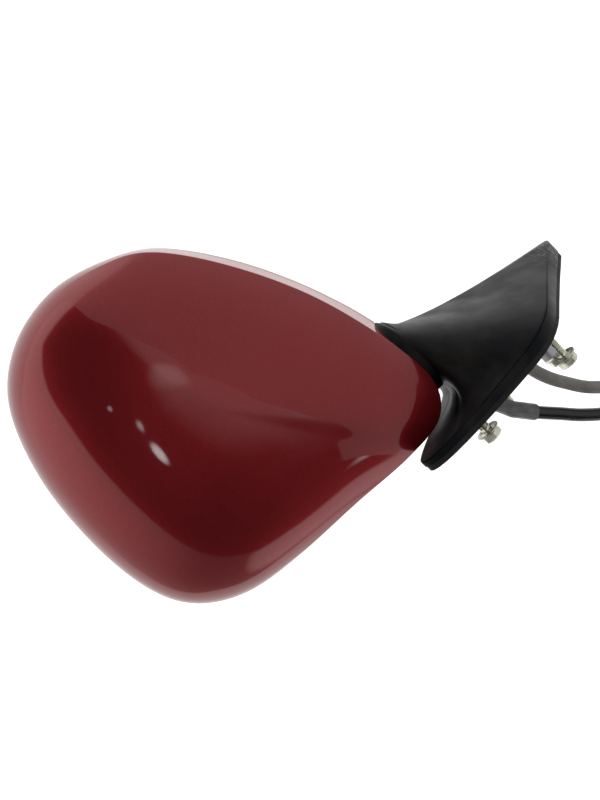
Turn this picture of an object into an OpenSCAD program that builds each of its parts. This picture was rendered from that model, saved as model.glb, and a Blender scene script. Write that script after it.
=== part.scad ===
// Car side mirror for the left-hand door, in car orientation.
// Units are millimetres. +X points outboard, -Y towards the front of the car, +Z up.
// The origin lies on the face that meets the door, at the centre of the bolt circle.

/* [Head] */
// Forward bulge of the painted front cap
cap_depth = 60; // [50:1:70]
// Depth of the rear shell behind the parting line
rear_depth = 38; // [32:1:42]
// Wall of the painted shells
shell_wall = 2.6; // [2.2:0.1:3]
// Depth of the straight wall below the crease of the cap
crease_depth = 26; // [18:1:32]

/* [Glass] */
// Thickness of the mirror glass
glass_thick = 2.2; // [1.8:0.1:3]
// Gap between the glass edge and the lip of the shell
glass_gap = 2; // [1.5:0.5:4]

/* [Fold pivot] */
// Outer radius of the steel pivot tube
tube_r = 6; // [5:0.5:7]
// Wall of the pivot tube
tube_wall = 1.4; // [1:0.1:2]
// Radius of the round turret that rises into the head
turret_r = 24.4; // [23:0.2:24.6]

/* [Base] */
// Thickness of the foam gasket
gasket_thick = 3; // [2:0.5:4]
// Depth of the straight rim band of the cover at bolt height, gasket included
rim_depth = 9; // [8.5:0.5:10]
// Wall of the moulded cover
cover_wall = 2.6; // [2.2:0.1:3]

/* [Bolts] */
// Diameter of the circle through the three main bolts
bolt_circle = 65; // [60:1:70]
// Radius of the exposed bolt shank
bolt_r = 3; // [2.5:0.5:3]
// Hexagon width across corners
hex_width = 11.5; // [11:0.5:12]

/* [Cables] */
// Diameter of the grey sheathed cable
grey_d = 7.2; // [6:0.1:8]
// Diameter of the black sleeved harness
black_d = 7.4; // [6:0.1:8]

/* [Hidden] */
$fn = 48;

// Outline of the head seen from the front, as X and Z.
head_outline = [
    [173.3, 76.6], [187.4, 99.9], [195, 128], [190, 158], [172, 182], [138, 198],
    [98, 205], [62, 204], [38, 194], [22, 172], [15, 140], [12, 100],
    [9.5, 66], [12, 41], [28, 28], [59.5, 25], [101.9, 36], [141.7, 54]
];
// How sharp the crease is at each outline point, 0 soft to 1 sharp.
crease_at = [0.85, 0.3, 0, 0, 0, 0, 0, 0, 0, 0, 0.15, 0.5, 0.9, 1, 1, 1, 1, 1];
// How much the wall below the crease flares out towards the parting line.
flare_at = [
    0.06, 0.02, 0.015, 0.015, 0.015, 0.015, 0.015, 0.015, 0.015, 0.015, 0.015, 0.015,
    0.015, 0.015, 0.03, 0.09, 0.085, 0.08
];
head_mid = [104, 118];
steps = 3;

// Outline of the door flange, as Y and Z.
flange_outline = [
    [-32, 66], [-41, 58], [-45, 36], [-45, 8], [-42, -16], [-28, -34],
    [-2, -52], [28, -72], [54, -90], [66, -97], [75, -93], [76, -80],
    [66, -52], [53, -22], [41, 3], [25, 20], [2, 36], [-18, 57]
];
flange_mid = [4, -12];

// Fold pivot axis and the heights of its stack.
pivot = [42, 0];
turret_foot = 26;
turret_z = 38;
seat_z = 26.6;

// Centre of the glass adjuster, where both tilt axes cross.
tilt = [108, 24, 118];
arm_len = 28;
gear_y = 4;

// Bolt places on the door face as Y and Z, and how far each head stands off.
bolt_places = [
    [bolt_circle / 2 * cos(120), bolt_circle / 2 * sin(120)],
    [bolt_circle / 2 * cos(240), bolt_circle / 2 * sin(240)],
    [bolt_circle / 2, 0],
    [27, -38]
];
bolt_reach = [14, 18, 24, 28];

// Cable exits as Y and Z.
grey_exit = [7, -16];
black_exit = [7, 12];

// Route of each cable from inside the base, out along -X and down.
grey_route = [
    [12, 7, -16], [0, 7, -16], [-12, 7, -17], [-24, 7, -20], [-36, 7, -26],
    [-48, 6, -34], [-58, 5, -46], [-65, 4, -60], [-69, 3, -76], [-71, 2, -94],
    [-72, 1, -112], [-72, 0, -130], [-71, 0, -148], [-70, 0, -166],
    [-69, 1, -184], [-68, 2, -202], [-68, 3, -220], [-68, 3, -238],
    [-68, 3, -256]
];
black_route = [
    [12, 7, 12], [0, 7, 12], [-12, 8, 10], [-24, 9, 5], [-35, 10, -3],
    [-46, 11, -12], [-58, 12, -22], [-69, 13, -34], [-78, 14, -49],
    [-84, 15, -66], [-88, 16, -84], [-90, 17, -102], [-91, 18, -120],
    [-91, 19, -138], [-90, 20, -156], [-89, 21, -174], [-88, 21, -192],
    [-88, 21, -210], [-88, 21, -226]
];

// Screw places on the head frame that carry the shells: X, Z, the Y where the
// post meets the cap, and the length of the web out to the wall of the rear shell.
shell_posts = [[58, 174, -45, 25.5], [160, 158, -45, 25.4], [150, 84, -40, 19.3]];
plate_front = -11;
plate_back = -6;

function wrap(a, i) = a[(i + len(a)) % len(a)];
function blend(a, b, c, d, t) =
    0.5 * (2 * b + (c - a) * t + (2 * a - 5 * b + 4 * c - d) * t * t
        + (3 * b - a - 3 * c + d) * t * t * t);
function loop_curve(a, n) = [
    for (i = [0 : len(a) - 1])
        for (j = [0 : n - 1])
            blend(wrap(a, i - 1), wrap(a, i), wrap(a, i + 1), wrap(a, i + 2), j / n)
];
function pull_in(p, mid, d) = p + (mid - p) * d / norm(p - mid);

head_loop = loop_curve(head_outline, steps);
crease_loop = loop_curve(crease_at, steps);
flare_loop = loop_curve(flare_at, steps);
flange_loop = loop_curve(flange_outline, steps);

// Fraction of the radius left, and fraction of the depth gained, along the cap.
function soft_part(t) = [pow(cos(90 * t), 0.72), pow(sin(90 * t), 0.86)];
function sharp_part(t, c, flare) =
    t < 0.25 ? [1 - flare * t / 0.25, c * t / 0.25]
    : let (v = (t - 0.25) / 0.75)
        [(1 - flare) * (1 - v), c + (1 - c) * (1 - pow(1 - v, 2.4))];
function cap_ring(t, inset) = [
    for (i = [0 : len(head_loop) - 1])
        let (
            w = max(0, min(1, crease_loop[i])),
            sharp = sharp_part(t, crease_depth / cap_depth, flare_loop[i]),
            s = soft_part(t) * (1 - w) + sharp * w,
            rim = pull_in(head_loop[i], head_mid, inset),
            p = head_mid + (rim - head_mid) * max(0.03, s[0])
        )
        [p[0], -(cap_depth - inset) * s[1], p[1]]
];

// Outline of the rear shell at fraction t of its depth.
function rear_ring(t, inset) = [
    for (p = head_loop)
        let (
            s = 1 - 0.10 * pow(t, 1.6),
            q = head_mid + (pull_in(p, head_mid, inset) - head_mid) * s
        )
        [q[0] + 3 * t * t, 0.6 + t * rear_depth, q[1] + 2 * t * t]
];
function glass_edge(inset) = [
    for (p = rear_ring(1, shell_wall + 1.4 + glass_gap + inset)) [p[0], p[2]]
];

// The rim band is deeper at the low rear tip and thinner beside the head.
function rim_x(z) = rim_depth - z / 30;

// Arm surface: leaves the door flange along X and rises to the foot of the turret.
function arm_ring(t, inset) = [
    for (i = [0 : len(flange_loop) - 1])
        let (
            f = pull_in(flange_loop[i], flange_mid, inset),
            a = atan2(flange_loop[i][1] - flange_mid[1], flange_loop[i][0] - flange_mid[0]),
            r = turret_r - inset,
            e = [pivot[0] - r * sin(a), pivot[1] + r * cos(a), turret_foot - inset],
            b = [rim_x(f[1]), f[0], f[1]],
            k = max(0, min(1, f[1] / 50)),
            m = [
                b[0] + (e[0] - b[0]) * (0.57 - 0.49 * k),
                0.4 * b[1] + 0.6 * e[1],
                (0.2 * b[2] + 0.8 * e[2]) * (1 - k) + 21 * k
            ]
        )
        b * (1 - t) * (1 - t) + m * 2 * t * (1 - t) + e * t * t
];
function circle_ring(r, z) = [
    for (i = [0 : len(flange_loop) - 1])
        let (a = atan2(flange_loop[i][1] - flange_mid[1], flange_loop[i][0] - flange_mid[0]))
        [pivot[0] - r * sin(a), pivot[1] + r * cos(a), z]
];
function flange_ring(x, inset) = [
    for (p = flange_loop)
        let (q = pull_in(p, flange_mid, inset))
        [x, q[0], q[1]]
];

// Skin over rings, closed by a flat face at each end.
module skin(rings) {
    n = len(rings[0]);
    m = len(rings);
    polyhedron(
        points = [for (r = rings) each r],
        faces = concat(
            [[for (i = [0 : n - 1]) i]],
            [[for (i = [n - 1 : -1 : 0]) (m - 1) * n + i]],
            [for (k = [0 : m - 2]) for (i = [0 : n - 1])
                [k * n + i, (k + 1) * n + i, (k + 1) * n + (i + 1) % n]],
            [for (k = [0 : m - 2]) for (i = [0 : n - 1])
                [k * n + i, (k + 1) * n + (i + 1) % n, k * n + (i + 1) % n]]
        )
    );
}

// Skin over rings that close back on the first one, leaving a through opening.
module tube_skin(rings) {
    n = len(rings[0]);
    m = len(rings);
    polyhedron(
        points = [for (r = rings) each r],
        faces = concat(
            [for (k = [0 : m - 1]) for (i = [0 : n - 1])
                [k * n + i, ((k + 1) % m) * n + i, ((k + 1) % m) * n + (i + 1) % n]],
            [for (k = [0 : m - 1]) for (i = [0 : n - 1])
                [k * n + i, ((k + 1) % m) * n + (i + 1) % n, k * n + (i + 1) % n]]
        )
    );
}

// Round tube swept along a route.
function unit(v) = v / norm(v);
function route_dir(p, i) = unit(p[min(i + 1, len(p) - 1)] - p[max(i - 1, 0)]);
function route_ring(p, i, r, n) =
    let (
        d = route_dir(p, i),
        s = unit(cross([0, 1, 0], d)),
        u = cross(d, s)
    )
    [for (k = [0 : n - 1]) p[i] + r * (cos(360 * k / n) * s + sin(360 * k / n) * u)];
module swept(p, r, n) {
    skin([for (i = [0 : len(p) - 1]) route_ring(p, i, r, n)]);
}

// Places children with the local Z axis along +Y.
module along_y() {
    rotate([-90, 0, 0])
        children();
}

// Places children with the local Z axis along -X.
module along_minus_x() {
    rotate([0, -90, 0])
        children();
}

module ring_shape(r_out, r_in, h) {
    difference() {
        cylinder(r = r_out, h = h);
        translate([0, 0, -1])
            cylinder(r = r_in, h = h + 2);
    }
}

// Flat plate in the YZ plane between two X positions.
module door_plate(x0, x1, inset) {
    translate([x0, 0, 0])
        rotate([90, 0, 90])
            linear_extrude(x1 - x0)
                polygon([for (p = flange_loop) pull_in(p, flange_mid, inset)]);
}

// Slot shape round both cable exits, with its length along X.
module cable_slot(x0, x1, r) {
    for (e = [grey_exit, black_exit])
        translate([x1, e[0], e[1]])
            along_minus_x()
                cylinder(r = r, h = x1 - x0);
    translate([x0, grey_exit[0] - r, grey_exit[1]])
        cube([x1 - x0, 2 * r, black_exit[1] - grey_exit[1]]);
}

// ---------------------------------------------------------------- base

module base_cover() {
    color("#1b1c1e")
        tube_skin(concat(
            [flange_ring(gasket_thick, 0)],
            [for (t = [0 : 0.125 : 1]) arm_ring(t, 0)],
            [circle_ring(turret_r, turret_z), circle_ring(turret_r - cover_wall, turret_z)],
            [for (t = [1 : -0.25 : 0]) arm_ring(t, cover_wall)],
            [flange_ring(gasket_thick, cover_wall)]
        ));
}

module base_casting() {
    color("#8f9296")
        difference() {
            union() {
                door_plate(gasket_thick, gasket_thick + 3.4, cover_wall + 0.4);
                // Two side walls that carry the pivot seat.
                for (y = [-7, 13])
                    translate([0, y, 0])
                        rotate([90, 0, 0])
                            linear_extrude(6)
                                polygon([
                                    [gasket_thick + 1, -24], [gasket_thick + 1, 21],
                                    [49, 21], [39, 9], [29, -7], [17, -20]
                                ]);
                translate([pivot[0], pivot[1], 17])
                    cylinder(r = 9.5, h = 6);
                translate([pivot[0], pivot[1], 22.6])
                    cylinder(r = 16, h = seat_z - 22.6);
                // Locating peg that enters the door, on a wider root inside the gasket.
                translate([gasket_thick + 1, -33, -18])
                    along_minus_x() {
                        cylinder(r = 4.8, h = gasket_thick + 1);
                        cylinder(r = 4, h = gasket_thick + 7);
                    }
                for (p = bolt_places)
                    translate([gasket_thick + 6.5, p[0], p[1]])
                        along_minus_x()
                            cylinder(r = 5.5, h = 5);
            }
            translate([pivot[0], pivot[1], 0])
                cylinder(r = tube_r, h = 40);
            for (p = bolt_places)
                translate([gasket_thick + 12, p[0], p[1]])
                    along_minus_x()
                        cylinder(r = bolt_r - 0.3, h = 20);
            cable_slot(0, 13, 7);
        }
}

module mount_gasket() {
    color("#2c2c2d")
        difference() {
            door_plate(0, gasket_thick, 0.6);
            for (p = bolt_places)
                translate([10, p[0], p[1]])
                    along_minus_x()
                        cylinder(r = bolt_r + 1.8, h = 20);
            translate([10, -33, -18])
                along_minus_x()
                    cylinder(r = 5.4, h = 20);
            cable_slot(-1, 10, 7);
        }
}

module cable_grommet() {
    color("#232324")
        difference() {
            cable_slot(0, 11, 6.8);
            translate([12, grey_exit[0], grey_exit[1]])
                along_minus_x()
                    cylinder(r = grey_d / 2, h = 14);
            translate([12, black_exit[0], black_exit[1]])
                along_minus_x()
                    cylinder(r = black_d / 2, h = 14);
        }
}

module mounting_bolts() {
    color("#b9b48f")
        for (i = [0 : 3])
            translate([0, bolt_places[i][0], bolt_places[i][1]])
                along_minus_x() {
                    translate([0, 0, -8.5])
                        cylinder(r = bolt_r - 0.3, h = 8.5);
                    cylinder(r = bolt_r, h = bolt_reach[i] - 2);
                    translate([0, 0, bolt_reach[i] - 2])
                        cylinder(r = bolt_r - 0.2, h = 3);
                    translate([0, 0, bolt_reach[i]])
                        cylinder(r = hex_width / 2, h = 4, $fn = 6);
                }
}

module bolt_washers() {
    color("#c4c0a6")
        for (i = [0 : 3])
            translate([0, bolt_places[i][0], bolt_places[i][1]])
                along_minus_x()
                    translate([0, 0, bolt_reach[i] - 1.6])
                        ring_shape(6.7, bolt_r - 0.2, 1.6);
}

module detent_ring() {
    color("#5d6064")
        translate([pivot[0], pivot[1], seat_z])
            difference() {
                ring_shape(15, tube_r + 2, 3.2);
                for (a = [45 : 90 : 315])
                    rotate([0, 0, a])
                        translate([6, -1.5, 2])
                            cube([12, 3, 3]);
            }
}

module pivot_tube() {
    color("#9a9da0")
        translate([pivot[0], pivot[1], 17])
            ring_shape(tube_r, tube_r - tube_wall, 55);
}

// Turns of the fold spring as a route.
spring_route = [
    for (i = [0 : 60])
        let (a = 360 * 4 * i / 60, h = min(1, max(0, (i - 8) / 44)))
        [pivot[0] + 9.6 * cos(a), pivot[1] + 9.6 * sin(a), 48.1 + 16.5 * h]
];
function spring_ring(i, r, n) =
    let (
        d = route_dir(spring_route, i),
        s = unit(cross([0, 0, 1], d)),
        u = cross(d, s)
    )
    [for (k = [0 : n - 1]) spring_route[i] + r * (cos(360 * k / n) * s + sin(360 * k / n) * u)];

module fold_spring() {
    color("#6f7276")
        skin([for (i = [0 : 60]) spring_ring(i, 1.5, 8)]);
}

module spring_retainer() {
    color("#a3a6a8")
        translate([pivot[0], pivot[1], 66.2])
            ring_shape(12, tube_r, 2.4);
}

module grey_cable() {
    color("#8b8a86")
        swept(grey_route, grey_d / 2, 10);
}

module grey_connector() {
    color("#d8d4c6")
        translate([grey_route[18][0], grey_route[18][1], -256])
            difference() {
                translate([-9, -6, -26])
                    cube([18, 12, 26]);
                translate([-7, -4, -27])
                    cube([14, 8, 14]);
            }
}

module black_harness() {
    color("#17181a")
        swept(black_route, black_d / 2, 10);
}

module harness_tape() {
    color("#77787b")
        tube_skin(concat(
            [for (i = [2 : 4]) route_ring(black_route, i, black_d / 2 + 0.9, 10)],
            [for (i = [4 : -1 : 2]) route_ring(black_route, i, black_d / 2 + 0.05, 10)]
        ));
}

module black_connector() {
    color("#1f2022")
        translate([black_route[18][0], black_route[18][1], -226])
            difference() {
                translate([-12, -7, -30])
                    cube([24, 14, 30]);
                translate([-10, -5, -31])
                    cube([20, 10, 16]);
            }
}

// ---------------------------------------------------------------- head

module front_cap() {
    color("#7a1620")
        difference() {
            union() {
                skin(concat(
                    [for (t = [1, 0.93, 0.85, 0.7, 0.55, 0.4, 0.25, 0.12, 0])
                        cap_ring(t, shell_wall)],
                    [for (t = [0, 0.06, 0.12, 0.18, 0.25, 0.32, 0.4, 0.5, 0.6, 0.72, 0.85, 0.93, 1])
                        cap_ring(t, 0)]
                ));
                for (p = shell_posts)
                    translate([p[0], p[2], p[1]])
                        along_y()
                            cylinder(r = 4, h = plate_front - p[2]);
            }
            for (p = shell_posts)
                translate([p[0], plate_front - 14, p[1]])
                    along_y()
                        cylinder(r = 1.9, h = 20);
            translate([pivot[0], pivot[1], 0])
                cylinder(r = 25, h = 40);
        }
}

module rear_shell() {
    color("#7a1620")
        difference() {
            union() {
                tube_skin(concat(
                    [for (t = [0, 0.2, 0.4, 0.6, 0.8, 0.93]) rear_ring(t, shell_wall)],
                    [rear_ring(0.93, shell_wall + 1.4)],
                    [rear_ring(1, shell_wall + 1.4)],
                    [for (t = [1 : -0.125 : 0]) rear_ring(t, 0)]
                ));
                for (p = shell_posts)
                    translate([p[0], 0, p[1]]) {
                        translate([0, plate_back, 0])
                            along_y()
                                cylinder(r = 4, h = 16);
                        rotate([0, -atan2(p[1] - head_mid[1], p[0] - head_mid[0]), 0])
                            translate([0, 2, -1.2])
                                cube([p[3], 7, 2.4]);
                    }
            }
            for (p = shell_posts)
                translate([p[0], -20, p[1]])
                    along_y()
                        cylinder(r = 2.2, h = 40);
            translate([pivot[0], pivot[1], 0])
                cylinder(r = 25, h = 40);
        }
}

module head_frame() {
    color("#8b8e92")
        difference() {
            union() {
                // Foot that turns on the pivot.
                translate([pivot[0], pivot[1], seat_z + 3.7])
                    cylinder(r = 17, h = 5);
                translate([pivot[0], pivot[1], seat_z + 3.7])
                    cylinder(r = 11.5, h = 16);
                // Neck and upright plate.
                translate([0, -6, 0])
                    rotate([90, 0, 0])
                        linear_extrude(5)
                            polygon([
                                [34, 31], [56, 31], [57, 40], [62, 40], [92, 66],
                                [140, 66], [158, 76], [158, 92], [146, 100], [146, 142],
                                [168, 150], [168, 166], [152, 166], [128, 170], [84, 170],
                                [66, 182], [50, 182], [50, 166], [66, 150], [66, 104],
                                [52, 70], [50, 46], [34, 46]
                            ]);
            }
            translate([pivot[0], pivot[1], 0])
                cylinder(r = tube_r + 1.9, h = 80);
            // Room for the fold spring above the foot.
            translate([pivot[0], pivot[1], seat_z + 19.7])
                cylinder(r = 12.8, h = 40);
            translate([tilt[0], -20, tilt[2]])
                along_y()
                    cylinder(r = 16, h = 20);
            for (p = shell_posts)
                translate([p[0], -20, p[1]])
                    along_y()
                        cylinder(r = 2.2, h = 20);
            for (a = [45 : 90 : 315])
                translate([tilt[0] + 36 * cos(a), -20, tilt[2] + 36 * sin(a)])
                    along_y()
                        cylinder(r = 1.8, h = 20);
        }
}

module pivot_bush() {
    color("#d9d5c9")
        translate([pivot[0], pivot[1], seat_z + 4])
            ring_shape(tube_r + 1.9, tube_r + 0.08, 16);
}

module shell_screws() {
    color("#b3b5b8")
        for (p = shell_posts)
            translate([p[0], 0, p[1]]) {
                translate([0, plate_front - 10, 0])
                    along_y()
                        cylinder(r = 1.9, h = 31);
                translate([0, 10, 0])
                    along_y()
                        cylinder(r = 3.6, h = 2.2);
            }
}

module actuator_screws() {
    color("#b3b5b8")
        for (a = [45 : 90 : 315])
            translate([tilt[0] + 36 * cos(a), 0, tilt[2] + 36 * sin(a)]) {
                translate([0, -14, 0])
                    along_y()
                        cylinder(r = 1.5, h = 28);
                translate([0, 14, 0])
                    along_y()
                        cylinder(r = 3, h = 2);
            }
}

module actuator_front() {
    color("#26282b")
        difference() {
            union() {
                translate([tilt[0], plate_back, tilt[2]])
                    along_y()
                        cylinder(r = 43, h = gear_y - plate_back);
                translate([tilt[0], plate_front, tilt[2]])
                    along_y()
                        cylinder(r = 15.5, h = 6);
            }
            difference() {
                translate([tilt[0], plate_back + 2, tilt[2]])
                    along_y()
                        cylinder(r = 41, h = 20);
                for (a = [45 : 90 : 315])
                    translate([tilt[0] + 36 * cos(a), -20, tilt[2] + 36 * sin(a)])
                        along_y()
                            cylinder(r = 3.5, h = 60);
                translate([83, -20, 101])
                    cube([11, 18, 6]);
                translate([119, -20, 132])
                    cube([6, 18, 11]);
            }
            for (a = [45 : 90 : 315])
                translate([tilt[0] + 36 * cos(a), -20, tilt[2] + 36 * sin(a)])
                    along_y()
                        cylinder(r = 1.7, h = 60);
        }
}

module actuator_rear() {
    color("#2b2d30")
        difference() {
            union() {
                difference() {
                    translate([tilt[0], gear_y, tilt[2]])
                        along_y()
                            cylinder(r = 43, h = 10);
                    difference() {
                        translate([tilt[0], gear_y - 1, tilt[2]])
                            along_y()
                                cylinder(r = 41, h = 9);
                        for (a = [45 : 90 : 315])
                            translate([tilt[0] + 36 * cos(a), 0, tilt[2] + 36 * sin(a)])
                                along_y()
                                    cylinder(r = 3.5, h = 60);
                    }
                }
                translate([tilt[0], gear_y + 9, tilt[2]])
                    along_y()
                        cylinder(r = 6, h = 8);
                translate(tilt)
                    along_y()
                        rotate_extrude()
                            intersection() {
                                circle(r = 9);
                                translate([0, -10])
                                    square([10, 12.2]);
                            }
            }
            for (a = [45 : 90 : 315])
                translate([tilt[0] + 36 * cos(a), -20, tilt[2] + 36 * sin(a)])
                    along_y()
                        cylinder(r = 1.7, h = 60);
            for (p = [[0, -arm_len], [arm_len, 0]])
                translate([tilt[0] + p[0], 0, tilt[2] + p[1]])
                    along_y()
                        cylinder(r = 3.1, h = 60);
        }
}

// Small electric motor with its axis along Z, bottom face at the origin.
module small_motor() {
    difference() {
        union() {
            cylinder(r = 6, h = 17);
            translate([0, 0, 17])
                cylinder(r = 2.4, h = 1.6);
        }
        translate([0, 0, 10])
            cylinder(r = 1.2, h = 10);
    }
}

module pitch_motor() {
    color("#a7a9ab")
        translate([79, gear_y, tilt[2] - arm_len + 14])
            rotate([0, 90, 0])
                small_motor();
}

module yaw_motor() {
    color("#a7a9ab")
        translate([tilt[0] + arm_len - 14, gear_y, 147])
            rotate([180, 0, 0])
                small_motor();
}

// Worm with its shaft, axis along Z, centred on the wheel it drives.
module worm() {
    translate([0, 0, -7])
        rotate_extrude()
            polygon([
                [0, 0], [2.4, 0], [2.4, 2], [1.7, 2.6], [2.4, 3.2], [2.4, 5], [1.7, 5.6],
                [2.4, 6.2], [2.4, 8], [1.7, 8.6], [2.4, 9.2], [2.4, 11], [1.7, 11.6],
                [2.4, 12.2], [2.4, 14], [0, 14]
            ]);
}

module pitch_worm() {
    color("#b08d57")
        translate([tilt[0], gear_y, tilt[2] - arm_len + 14])
            rotate([0, 90, 0]) {
                worm();
                translate([0, 0, -16])
                    cylinder(r = 0.8, h = 10);
            }
}

module yaw_worm() {
    color("#b08d57")
        translate([tilt[0] + arm_len - 14, gear_y, tilt[2]]) {
            worm();
            translate([0, 0, 6])
                cylinder(r = 0.8, h = 10);
        }
}

// Toothed wheel that drives a pusher, axis along Y.
module drive_wheel() {
    along_y()
        difference() {
            union() {
                translate([0, 0, -3])
                    linear_extrude(6)
                        polygon([
                            for (i = [0 : 47])
                                let (r = i % 4 < 2 ? 11 : 9.8)
                                [r * cos(7.5 * i), r * sin(7.5 * i)]
                        ]);
                translate([0, 0, -7.6])
                    cylinder(r = 5, h = 15.2);
            }
            translate([0, 0, -10])
                cylinder(r = 3.1, h = 20);
        }
}

module pitch_wheel() {
    color("#ddd8c8")
        translate([tilt[0], gear_y, tilt[2] - arm_len])
            drive_wheel();
}

module yaw_wheel() {
    color("#ddd8c8")
        translate([tilt[0] + arm_len, gear_y, tilt[2]])
            drive_wheel();
}

// Pusher rod with a ball end at the tilt plane, axis along Y.
module pusher() {
    translate([0, 1 - tilt[1], 0])
        along_y()
            cylinder(r = 2.6, h = tilt[1] - 2);
    sphere(r = 3.3);
}

module pitch_pusher() {
    color("#e4e0d3")
        translate([tilt[0], tilt[1], tilt[2] - arm_len])
            pusher();
}

module yaw_pusher() {
    color("#e4e0d3")
        translate([tilt[0] + arm_len, tilt[1], tilt[2]])
            pusher();
}

// ---------------------------------------------------------------- glass

module gimbal_ring() {
    color("#3a3c40")
        translate(tilt)
            along_y()
                difference() {
                    intersection() {
                        sphere(r = 13);
                        translate([0, 0, -4])
                            cylinder(r = 20, h = 6.2);
                    }
                    sphere(r = 9.5);
                }
}

module glass_carrier() {
    color("#2f3134")
        difference() {
            union() {
                translate([0, 30.4, 0])
                    rotate([90, 0, 0])
                        linear_extrude(2.4)
                            polygon([for (p = glass_edge(3)) p]);
                translate([tilt[0], 20.5, tilt[2]])
                    along_y()
                        cylinder(r = 18, h = 8);
                for (p = [[0, -arm_len], [arm_len, 0]])
                    translate([tilt[0] + p[0], 20.5, tilt[2] + p[1]])
                        along_y()
                            cylinder(r = 7, h = 8);
            }
            translate(tilt)
                along_y()
                    rotate_extrude()
                        intersection() {
                            circle(r = 13.5);
                            translate([0, -20])
                                square([20, 24]);
                        }
            for (p = [[0, -arm_len], [arm_len, 0]])
                translate([tilt[0] + p[0], 0, tilt[2] + p[1]])
                    along_y()
                        cylinder(r = 4.6, h = 28);
        }
}

module heater_pad() {
    color("#b06a2c")
        translate([0, 31, 0])
            rotate([90, 0, 0])
                linear_extrude(0.6)
                    polygon([for (p = glass_edge(4)) p]);
}

module mirror_glass() {
    color("#c9d3da")
        translate([0, 31 + glass_thick, 0])
            rotate([90, 0, 0])
                linear_extrude(glass_thick)
                    polygon([for (p = glass_edge(0)) p]);
}

base_cover();
base_casting();
mount_gasket();
cable_grommet();
mounting_bolts();
bolt_washers();
detent_ring();
pivot_tube();
fold_spring();
spring_retainer();
grey_cable();
grey_connector();
black_harness();
harness_tape();
black_connector();
front_cap();
rear_shell();
head_frame();
pivot_bush();
shell_screws();
actuator_screws();
actuator_front();
actuator_rear();
pitch_motor();
yaw_motor();
pitch_worm();
yaw_worm();
pitch_wheel();
yaw_wheel();
pitch_pusher();
yaw_pusher();
gimbal_ring();
glass_carrier();
heater_pad();
mirror_glass();
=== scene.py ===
import bpy
import bmesh
import math
from mathutils import Vector, Matrix


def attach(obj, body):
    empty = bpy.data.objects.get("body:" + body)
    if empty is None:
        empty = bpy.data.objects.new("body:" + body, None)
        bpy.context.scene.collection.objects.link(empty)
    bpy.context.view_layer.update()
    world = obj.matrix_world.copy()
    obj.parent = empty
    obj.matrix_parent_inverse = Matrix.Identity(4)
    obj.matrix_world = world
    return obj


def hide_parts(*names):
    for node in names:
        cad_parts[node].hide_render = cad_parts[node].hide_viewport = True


# Looks of a car side mirror. Metres, in the frame of the CAD part:
# +X outboard, -Y towards the front of the car, +Z up, door face at X = 0.

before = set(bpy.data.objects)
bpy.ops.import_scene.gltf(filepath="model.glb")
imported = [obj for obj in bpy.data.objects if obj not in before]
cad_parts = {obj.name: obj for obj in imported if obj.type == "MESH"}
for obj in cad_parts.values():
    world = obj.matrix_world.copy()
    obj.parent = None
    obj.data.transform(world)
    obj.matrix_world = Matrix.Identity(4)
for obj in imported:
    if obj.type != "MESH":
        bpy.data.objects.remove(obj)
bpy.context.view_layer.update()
MM = 0.001


# ------------------------------------------------------------------ camera

AZIMUTH, ELEVATION, ROLL = 8.9, 4.4, 137.3
DISTANCE, AIM = 0.497, Vector((0.0675, 0.0, 0.0822))
LENS = 43.3


def make_camera():
    a, e, t = (math.radians(v) for v in (AZIMUTH, ELEVATION, ROLL))
    back = Vector((math.sin(a) * math.cos(e), -math.cos(a) * math.cos(e), math.sin(e)))
    right = Vector((math.cos(a), math.sin(a), 0))
    up = Vector((-math.sin(a) * math.sin(e), math.cos(a) * math.sin(e), math.cos(e)))
    r = math.cos(t) * right - math.sin(t) * up
    u = math.sin(t) * right + math.cos(t) * up
    data = bpy.data.cameras.new("camera")
    data.lens = LENS
    data.sensor_width = 36
    data.clip_start = 0.01
    cam = bpy.data.objects.new("camera", data)
    bpy.context.scene.collection.objects.link(cam)
    m = Matrix((r, u, back)).transposed().to_4x4()
    m.translation = AIM + back * DISTANCE
    cam.matrix_world = m
    bpy.context.scene.camera = cam


make_camera()

# ------------------------------------------------------------------ materials


# Socket numbers of a colour Mix node.
MIX_FACTOR, MIX_A, MIX_B, MIX_RESULT = 0, 6, 7, 2


def math_node(tree, op, *values):
    """Math node in a node tree; each value is a number or another node's output."""
    n = tree.nodes.new("ShaderNodeMath")
    n.operation = op
    for k, v in enumerate(values):
        if isinstance(v, (int, float)):
            n.inputs[k].default_value = v
        else:
            tree.links.new(v, n.inputs[k])
    return n.outputs[0]


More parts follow.
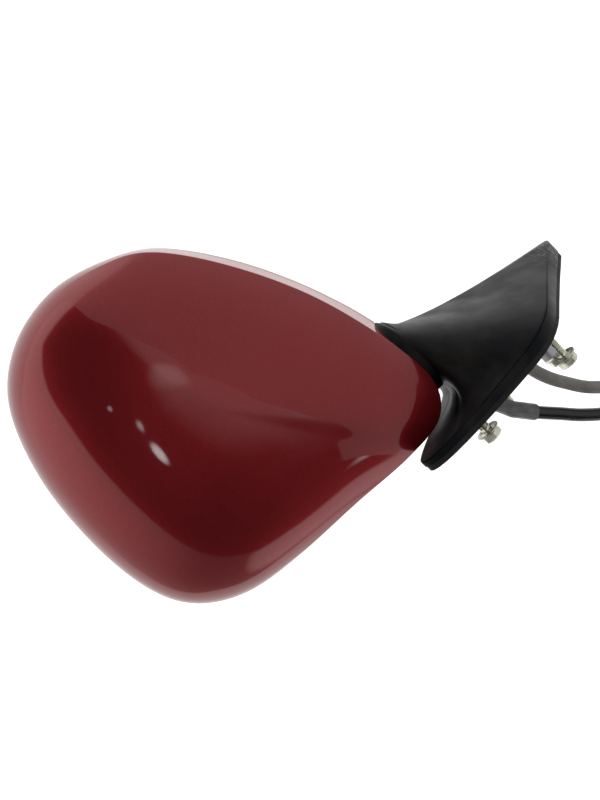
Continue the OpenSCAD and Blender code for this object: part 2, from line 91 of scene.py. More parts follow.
class Mat:
    """A small helper round one Principled material."""

    def __init__(self, name):
        self.material = bpy.data.materials.new(name)
        self.material.use_nodes = True
        self.tree = self.material.node_tree
        self.shader = self.tree.nodes["Principled BSDF"]
        self.coord = self.tree.nodes.new("ShaderNodeTexCoord").outputs["Object"]

    def set(self, **values):
        for key, value in values.items():
            self.shader.inputs[key.replace("_", " ")].default_value = value

    def noise(self, scale, detail=4, rough=0.5, stretch=None):
        n = self.tree.nodes.new("ShaderNodeTexNoise")
        n.inputs["Scale"].default_value = scale
        n.inputs["Detail"].default_value = detail
        n.inputs["Roughness"].default_value = rough
        self.tree.links.new(self.mapping(stretch) if stretch else self.coord, n.inputs["Vector"])
        return n.outputs["Fac"]

    def mapping(self, stretch):
        g = self.tree.nodes.new("ShaderNodeMapping")
        g.inputs["Scale"].default_value = stretch
        self.tree.links.new(self.coord, g.inputs["Vector"])
        return g.outputs["Vector"]

    def cells(self, scale, out="Distance"):
        n = self.tree.nodes.new("ShaderNodeTexVoronoi")
        n.inputs["Scale"].default_value = scale
        self.tree.links.new(self.coord, n.inputs["Vector"])
        return n.outputs[out]

    def ramp(self, src, stops):
        r = self.tree.nodes.new("ShaderNodeValToRGB")
        e = r.color_ramp.elements
        while len(e) < len(stops):
            e.new(0.5)
        for k, (p, c) in enumerate(stops):
            e[k].position = p
            e[k].color = (c, c, c, 1) if isinstance(c, (int, float)) else (*c, 1)
        self.tree.links.new(src, r.inputs["Fac"])
        return r.outputs["Color"]

    def math(self, op, a, b):
        return math_node(self.tree, op, a, b)

    def mix(self, factor, below, colour):
        """A plain colour laid over another one by a factor."""
        n = self.tree.nodes.new("ShaderNodeMix")
        n.data_type = "RGBA"
        self.tree.links.new(factor, n.inputs[MIX_FACTOR])
        self.tree.links.new(below, n.inputs[MIX_A])
        n.inputs[MIX_B].default_value = (*colour, 1)
        return n.outputs[MIX_RESULT]

    def axis(self, k):
        n = self.tree.nodes.new("ShaderNodeSeparateXYZ")
        self.tree.links.new(self.coord, n.inputs[0])
        return n.outputs[k]

    def to(self, src, key):
        self.tree.links.new(src, self.shader.inputs[key])

    def bump(self, src, strength, distance):
        """Adds a bump on top of the bumps made before."""
        b = self.tree.nodes.new("ShaderNodeBump")
        b.inputs["Strength"].default_value = strength
        b.inputs["Distance"].default_value = distance
        self.tree.links.new(src, b.inputs["Height"])
        last = self.shader.inputs["Normal"].links
        if last:
            self.tree.links.new(last[0].from_socket, b.inputs["Normal"])
        self.tree.links.new(b.outputs[0], self.shader.inputs["Normal"])


def paint(name):
    """Deep red metallic under clear coat, with flake and dust specks."""
    p = Mat(name)
    tone = p.ramp(p.noise(9, 3), [(0.35, (0.215, 0.010, 0.014)), (0.7, (0.255, 0.012, 0.017))])
    flake = p.ramp(p.cells(2600, out="Color"), [(0.55, 0.0), (0.95, 1.0)])
    base = p.mix(p.math("MULTIPLY", flake, 0.16), tone, (0.55, 0.05, 0.06))
    speck = p.ramp(p.cells(420), [(0.0, 1.0), (0.035, 1.0), (0.05, 0.0)])
    rare = p.ramp(p.noise(60, 2), [(0.62, 0.0), (0.66, 1.0)])
    dust = p.math("MULTIPLY", speck, rare)
    base = p.mix(p.math("MULTIPLY", dust, 0.45), base, (0.55, 0.42, 0.4))
    p.to(base, "Base Color")
    rough = p.ramp(p.noise(35, 5), [(0.3, 0.32), (0.7, 0.4)])
    p.to(rough, "Roughness")
    film = p.ramp(p.noise(14, 6), [(0.4, 0.03), (0.75, 0.075)])
    film = p.math("ADD", film, p.math("MULTIPLY", dust, 0.4))
    p.to(film, "Coat Roughness")
    p.set(Metallic=0.55, Specular_IOR_Level=0.15, Specular_Tint=(0.55, 0.2, 0.2, 1))
    p.set(Coat_Weight=0.62, Coat_IOR=1.55)
    p.bump(flake, 0.08, 0.00003)
    p.bump(p.noise(90, 2), 0.05, 0.00008)
    return p.material


def moulded(name, dark, light, rough=0.46, grain=1800, dusty=0.0, scuffs=False):
    """Fine-grained moulded plastic, with optional dust and scuffed corners."""
    p = Mat(name)
    tone = p.ramp(p.noise(30, 6), [(0.3, dark), (0.75, light)])
    if dusty:
        film = p.ramp(p.noise(22, 8, 0.65), [(0.46, 0.0), (0.74, dusty)])
        tone = p.mix(film, tone, (0.10, 0.085, 0.062))
        p.set(Specular_IOR_Level=0.08)
    if scuffs:
        z = p.math("MULTIPLY", p.axis(2), -1.0)
        near = p.ramp(p.math("MULTIPLY", z, 10.0), [(0.70, 0.0), (0.93, 1.0)])
        marks = p.ramp(p.noise(420, 5, 0.75), [(0.54, 0.0), (0.6, 1.0)])
        tone = p.mix(p.math("MULTIPLY", p.math("MULTIPLY", near, marks), 0.8), tone, (0.3, 0.3, 0.29))
        nicks = p.math("MULTIPLY", p.ramp(p.cells(230), [(0.02, 1.0), (0.05, 0.0)]),
                       p.ramp(p.noise(45, 2), [(0.58, 0.0), (0.62, 0.7)]))
        tone = p.mix(nicks, tone, (0.3, 0.3, 0.3))
    p.to(tone, "Base Color")
    p.to(p.ramp(p.noise(55, 5), [(0.3, rough - 0.08), (0.72, rough + 0.1)]), "Roughness")
    p.bump(p.noise(grain, 2), 0.12, 0.00006)
    p.bump(p.noise(120, 4), 0.06, 0.0002)
    return p.material


def metal(name, a, b, rough, scale, stain=None):
    """Plated, cast or drawn metal with uneven tone."""
    p = Mat(name)
    tone = p.ramp(p.noise(scale, 6, 0.6), [(0.3, a), (0.72, b)])
    if stain:
        tone = p.mix(p.ramp(p.noise(scale * 3, 6, 0.7), [(0.6, 0.0), (0.75, 0.7)]), tone, stain)
    p.to(tone, "Base Color")
    p.to(p.ramp(p.noise(scale * 2, 5), [(0.3, rough - 0.08), (0.75, rough + 0.15)]), "Roughness")
    p.set(Metallic=1.0)
    p.bump(p.noise(scale * 12, 4), 0.18, 0.00008)
    return p.material


def sheath(name, a, b, rough):
    """Cable jacket with faint scuffs and handling dirt."""
    p = Mat(name)
    tone = p.ramp(p.noise(110, 6, 0.65), [(0.3, a), (0.75, b)])
    p.to(tone, "Base Color")
    p.to(p.ramp(p.noise(240, 4), [(0.3, rough), (0.75, rough + 0.18)]), "Roughness")
    p.bump(p.noise(700, 3), 0.15, 0.0001)
    return p.material


def woven(name):
    """Wound cloth tape."""
    p = Mat(name)
    wave = p.tree.nodes.new("ShaderNodeTexWave")
    wave.inputs["Scale"].default_value = 420
    wave.inputs["Distortion"].default_value = 1.5
    p.tree.links.new(p.coord, wave.inputs["Vector"])
    tone = p.ramp(p.noise(160, 6), [(0.3, (0.1, 0.1, 0.105)), (0.75, (0.24, 0.24, 0.25))])
    p.to(tone, "Base Color")
    p.to(p.ramp(p.noise(90, 3), [(0.3, 0.62), (0.7, 0.85)]), "Roughness")
    p.set(Sheen_Weight=0.3)
    p.bump(wave.outputs["Fac"], 0.35, 0.0002)
    return p.material


def silvered(name):
    """Mirror glass with a faint film of dust and wipe marks."""
    p = Mat(name)
    p.to(p.ramp(p.noise(8, 6), [(0.3, (0.80, 0.84, 0.86)), (0.75, (0.86, 0.89, 0.9))]), "Base Color")
    p.to(p.ramp(p.noise(40, 7, 0.7, (1, 1, 0.25)), [(0.45, 0.015), (0.8, 0.09)]), "Roughness")
    p.set(Metallic=1.0)
    p.bump(p.noise(500, 2), 0.01, 0.00002)
    return p.material


RED = paint("red_paint")
RED_REAR = paint("red_paint_rear")
BLACK = moulded("black_plastic", (0.0035, 0.0042, 0.006), (0.0075, 0.0085, 0.011), 0.42, 1500,
                dusty=0.24, scuffs=True)
FOAM = moulded("foam", (0.006, 0.006, 0.006), (0.016, 0.016, 0.016), 0.85, 900)
RUBBER = moulded("rubber", (0.007, 0.007, 0.007), (0.018, 0.018, 0.018), 0.7, 800)
BLACK_NYLON = moulded("black_nylon", (0.01, 0.01, 0.011), (0.02, 0.02, 0.021), 0.5)
IVORY = moulded("ivory_nylon", (0.58, 0.54, 0.45), (0.7, 0.67, 0.59), 0.45)
ACETAL = moulded("acetal", (0.62, 0.6, 0.53), (0.74, 0.72, 0.66), 0.35)
ACTUATOR = moulded("actuator_plastic", (0.02, 0.021, 0.023), (0.04, 0.041, 0.043), 0.5)
GIMBAL = moulded("gimbal_plastic", (0.03, 0.031, 0.034), (0.05, 0.051, 0.055), 0.45)
CARRIER = moulded("carrier_plastic", (0.02, 0.021, 0.022), (0.035, 0.036, 0.038), 0.55)
HEATER = moulded("heater_foil", (0.3, 0.13, 0.05), (0.42, 0.2, 0.08), 0.4)
CASTING = metal("casting", (0.34, 0.35, 0.36), (0.52, 0.53, 0.54), 0.5, 70)
FRAME_ALLOY = metal("frame_alloy", (0.32, 0.33, 0.34), (0.5, 0.51, 0.52), 0.5, 60)
BOLT = metal("zinc_bolt", (0.62, 0.63, 0.5), (0.84, 0.84, 0.74), 0.24, 150, (0.3, 0.26, 0.16))
WASHER = metal("zinc_washer", (0.55, 0.54, 0.44), (0.78, 0.76, 0.66), 0.28, 170, (0.22, 0.19, 0.13))
SINTER = metal("sintered", (0.18, 0.185, 0.19), (0.3, 0.305, 0.31), 0.5, 200)
TUBE = metal("tube_steel", (0.45, 0.46, 0.47), (0.6, 0.61, 0.62), 0.25, 90)
SPRING = metal("spring_steel", (0.2, 0.205, 0.21), (0.34, 0.345, 0.35), 0.35, 120)
RETAINER = metal("retainer_steel", (0.45, 0.455, 0.46), (0.62, 0.625, 0.63), 0.3, 110)
SCREW = metal("screw_steel", (0.5, 0.505, 0.51), (0.68, 0.685, 0.69), 0.28, 130)
MOTOR = metal("motor_steel", (0.5, 0.505, 0.51), (0.64, 0.645, 0.65), 0.22, 90)
BRASS = metal("worm_brass", (0.5, 0.36, 0.13), (0.66, 0.5, 0.22), 0.25, 140)
GREY = sheath("grey_sheath", (0.2, 0.19, 0.175), (0.33, 0.315, 0.29), 0.42)
SLEEVE = sheath("black_sleeve", (0.006, 0.0065, 0.008), (0.016, 0.017, 0.02), 0.16)
TAPE = woven("grey_tape")
MIRROR = silvered("mirror")

# ------------------------------------------------------------------ cords

# Route points of the two cables, millimetres.
GREY_ROUTE = [
    (0, 7, -16), (-12, 7, -17), (-24, 7, -20), (-36, 7, -26), (-48, 6, -34),
    (-58, 5, -46), (-65, 4, -60), (-69, 3, -76), (-71, 2, -94), (-72, 1, -112),
    (-72, 0, -130), (-71, 0, -148), (-70, 0, -166), (-69, 1, -184), (-68, 2, -202),
    (-68, 3, -220), (-68, 3, -238), (-68, 3, -256),
]
BLACK_ROUTE = [
    (0, 7, 12), (-12, 8, 10), (-24, 9, 5), (-35, 10, -3), (-46, 11, -12),
    (-58, 12, -22), (-69, 13, -34), (-78, 14, -49), (-84, 15, -66), (-88, 16, -84),
    (-90, 17, -102), (-91, 18, -120), (-91, 19, -138), (-90, 20, -156),
    (-89, 21, -174), (-88, 21, -192), (-88, 21, -210), (-88, 21, -226),
]


def link(obj):
    bpy.context.scene.collection.objects.link(obj)
    return obj


def cable(name, route, diameter, material):
    c = bpy.data.curves.new(name, "CURVE")
    c.dimensions = "3D"
    c.resolution_u = 8
    c.bevel_depth = diameter / 2
    c.bevel_resolution = 5
    c.use_fill_caps = True
    s = c.splines.new("BEZIER")
    s.bezier_points.add(len(route) - 1)
    for point, p in zip(s.bezier_points, route):
        point.co = [v * MM for v in p]
        point.handle_left_type = point.handle_right_type = "AUTO"
    c.materials.append(material)
    return link(bpy.data.objects.new(name, c))


grey = cable("grey_cable_jacket", GREY_ROUTE, 0.0072, GREY)
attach(grey, "base")
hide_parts("grey_cable")

harness = cable("black_harness_sleeve", BLACK_ROUTE, 0.0074, SLEEVE)
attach(harness, "base")
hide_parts("black_harness")

# ------------------------------------------------------------------ shape helpers

# Outline of the head at the parting line, X and Z in millimetres. FLARE is how far the side
# draws in from there to the crease, CREASE how sharp the crease is, 0 for a round side.
HEAD = [
    (173.3, 76.6), (187.4, 99.9), (195, 128), (190, 158), (172, 182), (138, 198),
    (98, 205), (62, 204), (38, 194), (22, 172), (15, 140), (12, 100),
    (9.5, 66), (12, 41), (28, 28), (59.5, 25), (101.9, 36), (141.7, 54),
]
FLARE = [0.06, 0.02] + [0.015] * 12 + [0.03, 0.09, 0.085, 0.08]
CREASE = [0.85, 0.3, 0, 0, 0, 0, 0, 0, 0, 0, 0.15, 0.5, 0.9, 1, 1, 1, 1, 1]
# Outline of the door flange, Y and Z in millimetres.
FLANGE = [
    (-32, 66), (-41, 58), (-45, 36), (-45, 8), (-42, -16), (-28, -34),
    (-2, -52), (28, -72), (54, -90), (66, -97), (75, -93), (76, -80),
    (66, -52), (53, -22), (41, 3), (25, 20), (2, 36), (-18, 57),
]
HEAD_MID, FLANGE_MID = (104, 118), (4, -12)
CAP_DEPTH, CREASE_DEPTH, REAR_DEPTH = 60.0, 26.0, 38.0
PIVOT, TURRET_R, ARM_TOP = (42, 0), 24.4, 26
WALL = 2.6
SHARP_ANGLE = 38
CREASE_AT = 0.25


def spline_loop(points, n):
    """Closed Catmull-Rom curve through points, n steps a span."""
    out = []
    for i in range(len(points)):
        a, b, c, d = (points[(i + k) % len(points)] for k in (-1, 0, 1, 2))
        for j in range(n):
            t = j / n
            out.append(tuple(
                0.5 * (2 * q + (r - p) * t + (2 * p - 5 * q + 4 * r - s) * t * t
                       + (3 * q - p - 3 * r + s) * t ** 3)
                for p, q, r, s in zip(a, b, c, d)))
    return out


def pull(p, mid, d):
    """The point moved d towards the middle."""
    vx, vy = mid[0] - p[0], mid[1] - p[1]
    k = d / math.hypot(vx, vy)
    return (p[0] + vx * k, p[1] + vy * k)


STEPS = 12
head_loop = spline_loop(HEAD, STEPS)
crease_loop = [max(0.0, min(1.0, w[0])) for w in spline_loop([(w,) for w in CREASE], STEPS)]
flare_loop = [w[0] for w in spline_loop([(w,) for w in FLARE], STEPS)]
flange_loop = spline_loop(FLANGE, STEPS)


def cap_ring(t, inset):
    """Ring of the front cap, t from 0 at the parting line to 1 at the nose."""
    soft = (max(0.0, math.cos(math.pi / 2 * t)) ** 0.72, math.sin(math.pi / 2 * t) ** 0.86)
    c = CREASE_DEPTH / CAP_DEPTH
    out = []
    for p, w, flare in zip(head_loop, crease_loop, flare_loop):
        if t < CREASE_AT:
            sharp = (1 - flare * t / CREASE_AT, c * t / CREASE_AT)
        else:
            v = (t - CREASE_AT) / (1 - CREASE_AT)
            sharp = ((1 - flare) * (1 - v), c + (1 - c) * (1 - (1 - v) ** 2.4))
        rim = pull(p, HEAD_MID, inset)
        s0 = max(0.004, soft[0] * (1 - w) + sharp[0] * w)
        s1 = soft[1] * (1 - w) + sharp[1] * w
        out.append(Vector((
            HEAD_MID[0] + (rim[0] - HEAD_MID[0]) * s0,
            -(CAP_DEPTH - inset) * s1,
            HEAD_MID[1] + (rim[1] - HEAD_MID[1]) * s0)) * MM)
    return out


def rear_ring(t, inset):
    """Ring of the rear shell, t from 0 near the parting line to 1 at the glass opening."""
    out = []
    s = 1 - 0.10 * max(0.0, t) ** 1.6
    for p in head_loop:
        q = pull(p, HEAD_MID, inset)
        out.append(Vector((
            HEAD_MID[0] + (q[0] - HEAD_MID[0]) * s + 3 * t * t,
            0.6 + t * REAR_DEPTH,
            HEAD_MID[1] + (q[1] - HEAD_MID[1]) * s + 2 * t * t)) * MM)
    return out


def lift(ring, y):
    """The same ring moved to another Y, in millimetres."""
    return [Vector((p.x, y * MM, p.z)) for p in ring]


def mesh_object(name, verts, faces, material, body, sharp=SHARP_ANGLE):
    me = bpy.data.meshes.new(name)
    me.from_pydata([tuple(v) for v in verts], [], faces)
    bm = bmesh.new()
    bm.from_mesh(me)
    bmesh.ops.remove_doubles(bm, verts=bm.verts, dist=1e-7)
    bmesh.ops.recalc_face_normals(bm, faces=bm.faces)
    for e in bm.edges:
        e.smooth = not (len(e.link_faces) == 2 and e.calc_face_angle(0) > math.radians(sharp))
    for f in bm.faces:
        f.smooth = True
    bm.to_mesh(me)
    bm.free()
    me.materials.append(material)
    obj = link(bpy.data.objects.new(name, me))
    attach(obj, body)
    return obj


def band(a, b, n):
    """Faces between two rings of n vertices that start at vertices a and b."""
    return [(a + i, a + (i + 1) % n, b + (i + 1) % n, b + i) for i in range(n)]


def fan(verts, faces, start, ring):
    """Closes a ring, whose first vertex is start, with triangles round its middle."""
    n, middle = len(ring), len(verts)
    verts.append(sum(ring, Vector()) / n)
    faces += [(start + i, start + (i + 1) % n, middle) for i in range(n)]


def skin(rings, closed=False, caps=True):
    """Faces over rings of equal length; closed joins the last ring to the first."""
    n, m = len(rings[0]), len(rings)
    verts = [v for r in rings for v in r]
    faces = []
    for k in range(m if closed else m - 1):
        faces += band(k * n, ((k + 1) % m) * n, n)
    if caps and not closed:
        fan(verts, faces, 0, rings[0])
        fan(verts, faces, (m - 1) * n, rings[-1])
    return verts, faces


def carve(obj, cutter_name, verts, faces):
    """Cuts a closed shape out of obj and keeps the result."""
    me = bpy.data.meshes.new(cutter_name)
    me.from_pydata([tuple(v) for v in verts], [], faces)
    bm = bmesh.new()
    bm.from_mesh(me)
    bmesh.ops.recalc_face_normals(bm, faces=bm.faces)
    bm.to_mesh(me)
    bm.free()
    cutter = link(bpy.data.objects.new(cutter_name, me))
    mod = obj.modifiers.new("carve", "BOOLEAN")
    mod.operation = "DIFFERENCE"
    mod.solver = "EXACT"
    mod.object = cutter
    bpy.context.view_layer.update()
    done = bpy.data.meshes.new_from_object(
        obj.evaluated_get(bpy.context.evaluated_depsgraph_get()))
    obj.modifiers.clear()
    old = obj.data
    obj.data = done
    bpy.data.meshes.remove(old)
    bpy.data.objects.remove(cutter)
    bm = bmesh.new()
    bm.from_mesh(done)
    for e in bm.edges:
        if len(e.link_faces) == 2 and e.calc_face_angle(0) > math.radians(SHARP_ANGLE):
            e.smooth = False
    bm.to_mesh(done)
    bm.free()


def turn_angles(n):
    """Angles of n even steps round a full turn."""
    return [2 * math.pi * i / n for i in range(n)]


# ------------------------------------------------------------------ painted shells

NOTCH_R, NOTCH_LOW, NOTCH_HIGH = 25.0, 10, 40


def notch(obj):
    """Cuts the round clearance for the turret out of a shell."""
    rings = [[Vector((PIVOT[0] + NOTCH_R * math.cos(a), PIVOT[1] + NOTCH_R * math.sin(a), z)) * MM
              for a in turn_angles(96)] for z in (NOTCH_LOW, NOTCH_HIGH)]
    verts, faces = skin(rings)
    carve(obj, "notch", verts, faces)


def make_front_cap():
    """Outer skin from the rim to the nose, then the inner skin back to the rim."""
    close = [0.235, 0.242, 0.247, 0.25, 0.253, 0.258, 0.265]
    steps = sorted(set([k / 60 for k in range(1, 60)] + close))
    rim = [(WALL, -0.05), (1.3, -0.1), (0.6, -0.4), (0.2, -0.9), (0.1, -1.5)]
    outer = [lift(cap_ring(0, inset), y) for inset, y in rim]
    outer += [cap_ring(t, 0.1) for t in steps if t > 0.03] + [cap_ring(1, 0.1)]
    inner = [cap_ring(1, WALL)] + [cap_ring(k / 30, WALL) for k in range(29, 0, -1)]
    verts, faces = skin(outer, caps=False)
    n, inside = len(outer[0]), len(verts)
    verts += [v for r in inner for v in r]
    fan(verts, faces, inside - n, outer[-1])
    fan(verts, faces, inside, inner[0])
    for k in range(len(inner) - 1):
        faces += band(inside + k * n, inside + (k + 1) * n, n)
    faces += band(inside + (len(inner) - 1) * n, 0, n)
    cap = mesh_object("front_cap_painted", verts, faces, RED, "head")
    notch(cap)
    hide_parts("front_cap")


def make_rear_shell():
    """Parting edge with its inner lip, inner wall, glass opening and outer skin."""
    edge = [(0.1, 2.2), (0.2, 1.7), (0.6, 1.05), (1.2, 0.7), (2.75, 0.62),
            (2.75, -3.0), (3.6, -3.0), (3.6, 1.0)]
    rings = [lift(rear_ring(0, inset), y) for inset, y in edge]
    rings += [rear_ring(k / 12, WALL) for k in range(2, 12)]
    rings += [rear_ring(0.93, 2.7), rear_ring(0.93, 3.9), rear_ring(0.985, 4.0)]
    opening = [(3.7, 38.45), (3.2, 38.58), (1.2, 38.58), (0.5, 38.4), (0.15, 37.95)]
    rings += [lift(rear_ring(1, inset), y) for inset, y in opening]
    rings += [rear_ring(k / 24, 0.1) for k in range(23, 1, -1)]
    verts, faces = skin(rings, closed=True)
    shell = mesh_object("rear_shell_painted", verts, faces, RED_REAR, "head")
    notch(shell)
    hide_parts("rear_shell")


make_front_cap()
make_rear_shell()

# ------------------------------------------------------------------ base cover


def rim_x(z):
    """X of the flange's rim at a height; the flange gets thinner towards the top."""
    return 9 - z / 30


def flange_ring(x, inset):
    """Ring round the door flange at X = x, or, for x of zero and less, at x from the rim."""
    out = []
    for p in flange_loop:
        q = pull(p, FLANGE_MID, inset)
        out.append(Vector((rim_x(q[1]) + x if x <= 0 else x, q[0], q[1])) * MM)
    return out


def polar(p):
    """Angle of a flange point round the middle of the flange."""
    return math.atan2(p[1] - FLANGE_MID[1], p[0] - FLANGE_MID[0])


def arm_ring(t, inset):
    """Ring of the arm, t from 0 at the flange's rim to 1 at the turret."""
    out = []
    for p in flange_loop:
        y, z = pull(p, FLANGE_MID, inset)
        a, r = polar(p), TURRET_R - inset
        start = Vector((rim_x(z), y, z))
        end = Vector((PIVOT[0] - r * math.sin(a), PIVOT[1] + r * math.cos(a), ARM_TOP - inset))
        high = max(0.0, min(1.0, z / 50))
        # Control point of a quadratic curve; the high points stay close to the flange.
        bend = Vector((start.x + (end.x - start.x) * (0.57 - 0.49 * high),
                       0.4 * start.y + 0.6 * end.y,
                       (0.2 * start.z + 0.8 * end.z) * (1 - high) + 21 * high))
        out.append((start * (1 - t) ** 2 + bend * 2 * t * (1 - t) + end * t * t) * MM)
    return out


def turret_ring(r, z):
    """Ring round the turret, its points in the order of the flange's points."""
    return [Vector((PIVOT[0] - r * math.sin(polar(p)), PIVOT[1] + r * math.cos(polar(p)), z)) * MM
            for p in flange_loop]


def make_base_cover():
    """Flange rim, arm and turret as one skin, then the inner wall back to the flange."""
    flange = [(3.0, 0.5), (3.2, 0.15), (3.7, 0.0), (-0.9, 0.0), (-0.7, 0.1), (-0.55, 0.55),
              (-0.25, 0.55), (-0.08, 0.15)]
    turret = [(0.02, 26.6), (0.02, 37.4), (0.2, 37.85), (0.7, 38.0), (2.0, 38.0), (WALL, 37.6)]
    rings = [flange_ring(x, inset) for x, inset in flange]
    rings += [arm_ring(t, 0.02) for t in (0.004, 0.015, 0.035, 0.065, 0.1)]
    rings += [arm_ring(k / 32, 0.02) for k in range(4, 32)]
    rings += [arm_ring(0.99, 0.03)]
    rings += [turret_ring(TURRET_R - inset, z) for inset, z in turret]
    rings += [arm_ring(1 - k / 10, WALL) for k in range(0, 11)]
    rings += [flange_ring(3.0, WALL)]
    verts, faces = skin(rings, closed=True)
    cover = mesh_object("base_cover_moulded", verts, faces, BLACK, "base")
    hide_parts("base_cover")


make_base_cover()

# ------------------------------------------------------------------ bolts and washers

BOLT_CIRCLE, HEX_FLAT = 32.5, 4.98
# Y, Z and how far the head's seat stands out from the door face, millimetres.
BOLTS = [
    (BOLT_CIRCLE * math.cos(math.radians(120)), BOLT_CIRCLE * math.sin(math.radians(120)), 14),
    (BOLT_CIRCLE * math.cos(math.radians(240)), BOLT_CIRCLE * math.sin(math.radians(240)), 18),
    (BOLT_CIRCLE, 0, 24),
    (27, -38, 28),
]


def bolt_ring(y, z, radius, h, n):
    """Ring round a bolt's axis at X = -h; the radius is a number or depends on the angle."""
    out = []
    for a in turn_angles(n):
        r = radius(a) if callable(radius) else radius
        out.append(Vector((-h, y + r * math.cos(a), z + r * math.sin(a))) * MM)
    return out


def bolt_parts(y, z, reach, turn):
    """Threaded bolt along -X with a chamfered and dished hexagon head."""

    def hexagon(a):
        b = (a - turn) % (math.pi / 3) - math.pi / 6
        return HEX_FLAT / math.cos(b)

    profile = [(2.3, -8.4), (2.68, -8.0), (2.68, -0.4)]
    for k in range(int((reach - 3.2) * 6) + 1):
        h = -0.2 + k / 6

        def thread(a, h=h):
            f = (h - a / (2 * math.pi)) % 1.0
            return 2.98 - 0.62 * abs(2 * f - 1) ** 1.2
        profile.append((thread, h))
    profile += [(2.7, reach - 3.0), (2.79, reach - 2.2), (2.79, reach), (4.7, reach + 0.02)]
    profile += [(hexagon, reach + 0.3), (hexagon, reach + 3.3)]
    profile += [(lambda a: hexagon(a) - 0.12, reach + 3.42)]
    profile += [(lambda a: 4.7 + 0.2 * (hexagon(a) - HEX_FLAT), reach + 3.9)]
    profile += [(4.4, reach + 4.0), (3.0, reach + 4.0), (2.7, reach + 3.6), (0.4, reach + 3.5)]
    return skin([bolt_ring(y, z, radius, h, 48) for radius, h in profile])


def washer_parts(y, z, reach):
    """Washer with a raised collar under the bolt's head."""
    back = reach - 1.6
    profile = [(2.85, back + 0.1), (2.85, reach - 0.05), (4.85, reach - 0.02),
               (5.0, reach - 0.1), (5.0, back + 1.0), (6.45, back + 0.98),
               (6.66, back + 0.8), (6.68, back + 0.25), (6.5, back + 0.03),
               (3.1, back + 0.02)]
    return skin([bolt_ring(y, z, radius, h, 64) for radius, h in profile], closed=True)


def several(name, parts, material, body):
    """One object made of several separate closed shapes."""
    verts, faces = [], []
    for v, f in parts:
        k = len(verts)
        verts += v
        faces += [tuple(i + k for i in g) for g in f]
    return mesh_object(name, verts, faces, material, body, 30)


bolts = several("mounting_bolts_threaded",
                [bolt_parts(y, z, h, 0.35 * k) for k, (y, z, h) in enumerate(BOLTS)],
                BOLT, "base")
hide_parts("mounting_bolts")
washers = several("bolt_washers_plated", [washer_parts(y, z, h) for y, z, h in BOLTS],
                  WASHER, "base")
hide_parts("bolt_washers")

# ------------------------------------------------------------------ glass


LIP, GLASS_GAP = 1.4, 2


def make_glass():
    profile = [(1.2, 31.0), (0.35, 31.02), (0.02, 31.3), (0.02, 32.7), (0.4, 33.05), (1.1, 33.2)]
    rings = [lift(rear_ring(1, WALL + LIP + GLASS_GAP + inset), y) for inset, y in profile]
    verts, faces = skin(rings)
    glass = mesh_object("mirror_glass_silvered", verts, faces, MIRROR, "glass", 60)
    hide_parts("mirror_glass")


make_glass()

# ------------------------------------------------------------------ CAD nodes kept as they are

KEPT = {
    "base_casting": CASTING, "mount_gasket": FOAM, "cable_grommet": RUBBER,
    "detent_ring": SINTER, "pivot_tube": TUBE, "fold_spring": SPRING,
    "spring_retainer": RETAINER, "grey_connector": IVORY, "harness_tape": TAPE,
    "black_connector": BLACK_NYLON, "head_frame": FRAME_ALLOY, "pivot_bush": ACETAL,
    "shell_screws": SCREW, "actuator_screws": SCREW, "actuator_front": ACTUATOR,
    "actuator_rear": ACTUATOR, "pitch_motor": MOTOR, "yaw_motor": MOTOR,
    "pitch_worm": BRASS, "yaw_worm": BRASS, "pitch_wheel": ACETAL, "yaw_wheel": ACETAL,
    "pitch_pusher": ACETAL, "yaw_pusher": ACETAL, "gimbal_ring": GIMBAL,
    "glass_carrier": CARRIER, "heater_pad": HEATER,
}
for name, material in KEPT.items():
    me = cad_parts[name].data
    me.materials.clear()
    me.materials.append(material)

# ------------------------------------------------------------------ stage and light


FLOOR_Z, FLOOR_FRONT, CURVE_Y, CURVE_R, WALL_TOP = -0.30, -1.6, 0.9, 0.7, 3.2
STAGE_SIDES = (-4.0, 4.2)
DIM, BRIGHT = 0.34, 0.95


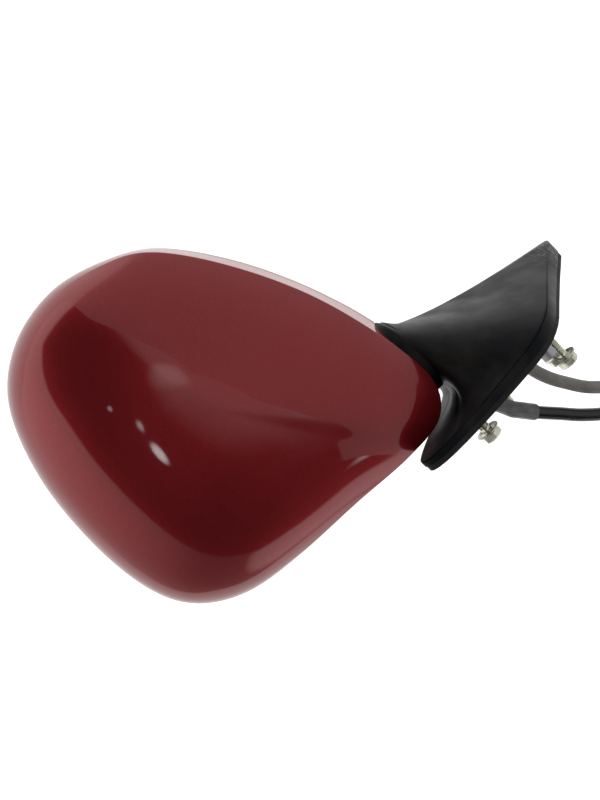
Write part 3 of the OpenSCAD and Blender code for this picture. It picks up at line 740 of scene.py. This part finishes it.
def make_stage():
    """Seamless pale sweep: a plain floor that curves up behind; it glows with painted light, dim in
    front and brightest at the back.
    """
    prof = [(FLOOR_FRONT, FLOOR_Z), (CURVE_Y, FLOOR_Z)]
    prof += [(CURVE_Y + CURVE_R * math.sin(a), FLOOR_Z + CURVE_R - CURVE_R * math.cos(a))
             for a in (math.radians(6 * k) for k in range(1, 16))]
    prof += [(CURVE_Y + CURVE_R, WALL_TOP)]
    verts = [(x, y, z) for y, z in prof for x in STAGE_SIDES]
    faces = [(2 * k, 2 * k + 1, 2 * k + 3, 2 * k + 2) for k in range(len(prof) - 1)]
    me = bpy.data.meshes.new("sweep")
    me.from_pydata(verts, [], faces)
    for f in me.polygons:
        f.use_smooth = True
    m = bpy.data.materials.new("sweep")
    m.use_nodes = True
    nodes, links = m.node_tree.nodes, m.node_tree.links
    sh = nodes["Principled BSDF"]
    sh.inputs["Base Color"].default_value = (0.4, 0.4, 0.4, 1)
    sh.inputs["Roughness"].default_value = 0.95
    sh.inputs["Specular IOR Level"].default_value = 0.1
    sh.inputs["Emission Strength"].default_value = 1.0
    place = nodes.new("ShaderNodeSeparateXYZ")
    links.new(nodes.new("ShaderNodeTexCoord").outputs["Object"], place.inputs[0])
    # Painted light: the sweep's own emission, DIM up to just behind the part and BRIGHT further back.
    glow = nodes.new("ShaderNodeValToRGB")
    spread = nodes.new("ShaderNodeMapRange")
    spread.inputs["From Min"].default_value = -0.5
    spread.inputs["From Max"].default_value = 0.5
    links.new(place.outputs["Y"], spread.inputs["Value"])
    links.new(spread.outputs[0], glow.inputs["Fac"])
    stops = glow.color_ramp.elements
    stops[0].position, stops[0].color = 0.0, (DIM, DIM, DIM, 1)
    stops[1].position, stops[1].color = 0.72, (BRIGHT, BRIGHT, BRIGHT, 1)
    stops.new(0.62).color = (DIM, DIM, DIM, 1)
    links.new(glow.outputs["Color"], sh.inputs["Emission Color"])
    me.materials.append(m)
    link(bpy.data.objects.new("sweep", me))


make_stage()

world = bpy.data.worlds.new("studio")
bpy.context.scene.world = world
world.use_nodes = True
tree = world.node_tree
way = tree.nodes.new("ShaderNodeTexCoord").outputs["Generated"]


def sky_math(op, *values):
    return math_node(tree, op, *values)


def fade(value, low, high, out_low=0.0, out_high=1.0):
    """Smooth change of a value from out_low to out_high between low and high."""
    n = tree.nodes.new("ShaderNodeMapRange")
    n.interpolation_type = "SMOOTHSTEP"
    tree.links.new(value, n.inputs["Value"])
    for key, v in (("From Min", low), ("From Max", high), ("To Min", out_low), ("To Max", out_high)):
        n.inputs[key].default_value = v
    return n.outputs[0]


def lamp(direction, inner, outer, strength):
    """Round soft lamp in one direction, radii in degrees."""
    d = Vector(direction).normalized()
    n = tree.nodes.new("ShaderNodeVectorMath")
    n.operation = "DOT_PRODUCT"
    tree.links.new(way, n.inputs[0])
    n.inputs[1].default_value = d
    low, high = (math.cos(math.radians(v)) for v in (outer, inner))
    return fade(n.outputs["Value"], low, high, 0.0, strength)


split = tree.nodes.new("ShaderNodeSeparateXYZ")
tree.links.new(way, split.inputs[0])
sx, sy, sz = split.outputs
LOW_PANEL, AMBIENT = 0.85, 0.055
# Direction, inner and outer radius in degrees, strength.
LAMPS = [
    ((0.13, -0.98, -0.06), 0.5, 8.0, 1.3),
    ((0.24, -0.90, 0.38), 0.3, 1.7, 4.0),
    ((0.05, -0.96, 0.29), 0.3, 1.5, 6.0),
    ((-0.05, -0.95, 0.31), 0.4, 2.4, 11.0),
    ((-0.965, -0.21, -0.135), 0.5, 4.5, 4.5),
    ((-0.52, -0.62, -0.58), 8.0, 34.0, 0.65),
]
# Large bright panel above and behind, brighter on the outboard side.
tilted = sky_math("MULTIPLY_ADD", sx, -0.2, sky_math("ADD", sy, sz))
behind = sky_math("MAXIMUM", fade(tilted, 0.15, 0.23), fade(sy, 0.0, 0.1))
level = sky_math("MAXIMUM", fade(sx, -0.8, 0.7, 0.26, 1.5), fade(sx, -0.97, -0.9, 1.3, 0.0))
panel = sky_math("MULTIPLY", behind, level)
# Softer panel below and in front, with a darker strip next to the floor.
vee = sky_math("MULTIPLY_ADD", sky_math("ABSOLUTE", sx), 0.42, sz)
low = sky_math("MULTIPLY", fade(vee, -0.02, 0.16, 1.0, 0.0), fade(sx, -0.84, -0.72))
low = sky_math("MULTIPLY", low, fade(sy, -0.34, -0.22, 1.0, 0.0))
total = sky_math("ADD", panel, sky_math("MULTIPLY", low, LOW_PANEL))
for one in LAMPS:
    total = sky_math("ADD", total, lamp(*one))
total = sky_math("ADD", total, AMBIENT)
tree.links.new(total, tree.nodes["Background"].inputs["Strength"])
tree.nodes["Background"].inputs["Color"].default_value = (1.0, 0.985, 0.985, 1)
bpy.context.scene.view_settings.view_transform = "Standard"
